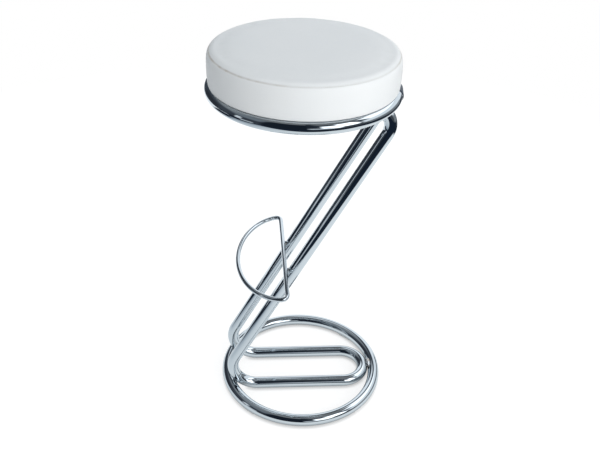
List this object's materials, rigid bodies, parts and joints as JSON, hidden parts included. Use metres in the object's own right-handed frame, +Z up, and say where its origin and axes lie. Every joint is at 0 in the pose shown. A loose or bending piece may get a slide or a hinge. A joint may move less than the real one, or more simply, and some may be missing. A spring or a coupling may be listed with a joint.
{
  "type": "bar stool",
  "caption": "Round padded bar stool on a Z-shaped chromed tube frame, with a ring base, a rod foot hoop and a chromed ring round the foot of the white pad.",
  "frame": {"origin": "centre of the footprint of the whole stool, on the floor", "axes": "+Z up, +X from the open side of the Z-shaped frame to the side where the legs meet the seat, +Y across the two legs"},
  "size_m": [0.3884, 0.3742, 0.8041],
  "materials": {
    "chrome": "polished",
    "weld": "plated weld bead",
    "black_steel": "satin",
    "zinc_steel": "zinc plated",
    "sleeve_plastic": "satin",
    "glide_plastic": "satin",
    "plywood": "raw",
    "foam": "open-cell foam",
    "leatherette": "smooth coated cloth",
    "dust_cloth": "non-woven"
  },
  "bodies": {
    "root": {"base_ring": "chrome", "base_ring_plug": "black_steel", "glide_1": "glide_plastic", "glide_2": "glide_plastic", "glide_3": "glide_plastic", "glide_4": "glide_plastic", "frame_front": "chrome", "frame_rear": "chrome", "floor_loop_plug": "black_steel", "seat_loop_plug": "black_steel", "foot_hoop": "chrome", "hoop_stub_front": "weld", "hoop_stub_rear": "weld", "seat_ring": "chrome", "ring_joint_sleeve": "sleeve_plastic", "seat_strap_left": "black_steel", "seat_strap_right": "black_steel", "dust_cloth": "dust_cloth", "seat_board": "plywood", "seat_screw_1": "zinc_steel", "seat_washer_1": "zinc_steel", "seat_screw_2": "zinc_steel", "seat_washer_2": "zinc_steel", "seat_screw_3": "zinc_steel", "seat_washer_3": "zinc_steel", "seat_screw_4": "zinc_steel", "seat_washer_4": "zinc_steel", "cover_side_band": "leatherette", "cover_top_panel": "leatherette", "foam_pad": "foam", "weld_floor_loop": "weld", "weld_seat_loop": "weld", "weld_foot_front": "weld", "weld_foot_rear": "weld", "weld_head_front": "weld", "weld_head_rear": "weld"}
  },
  "joints": []
}
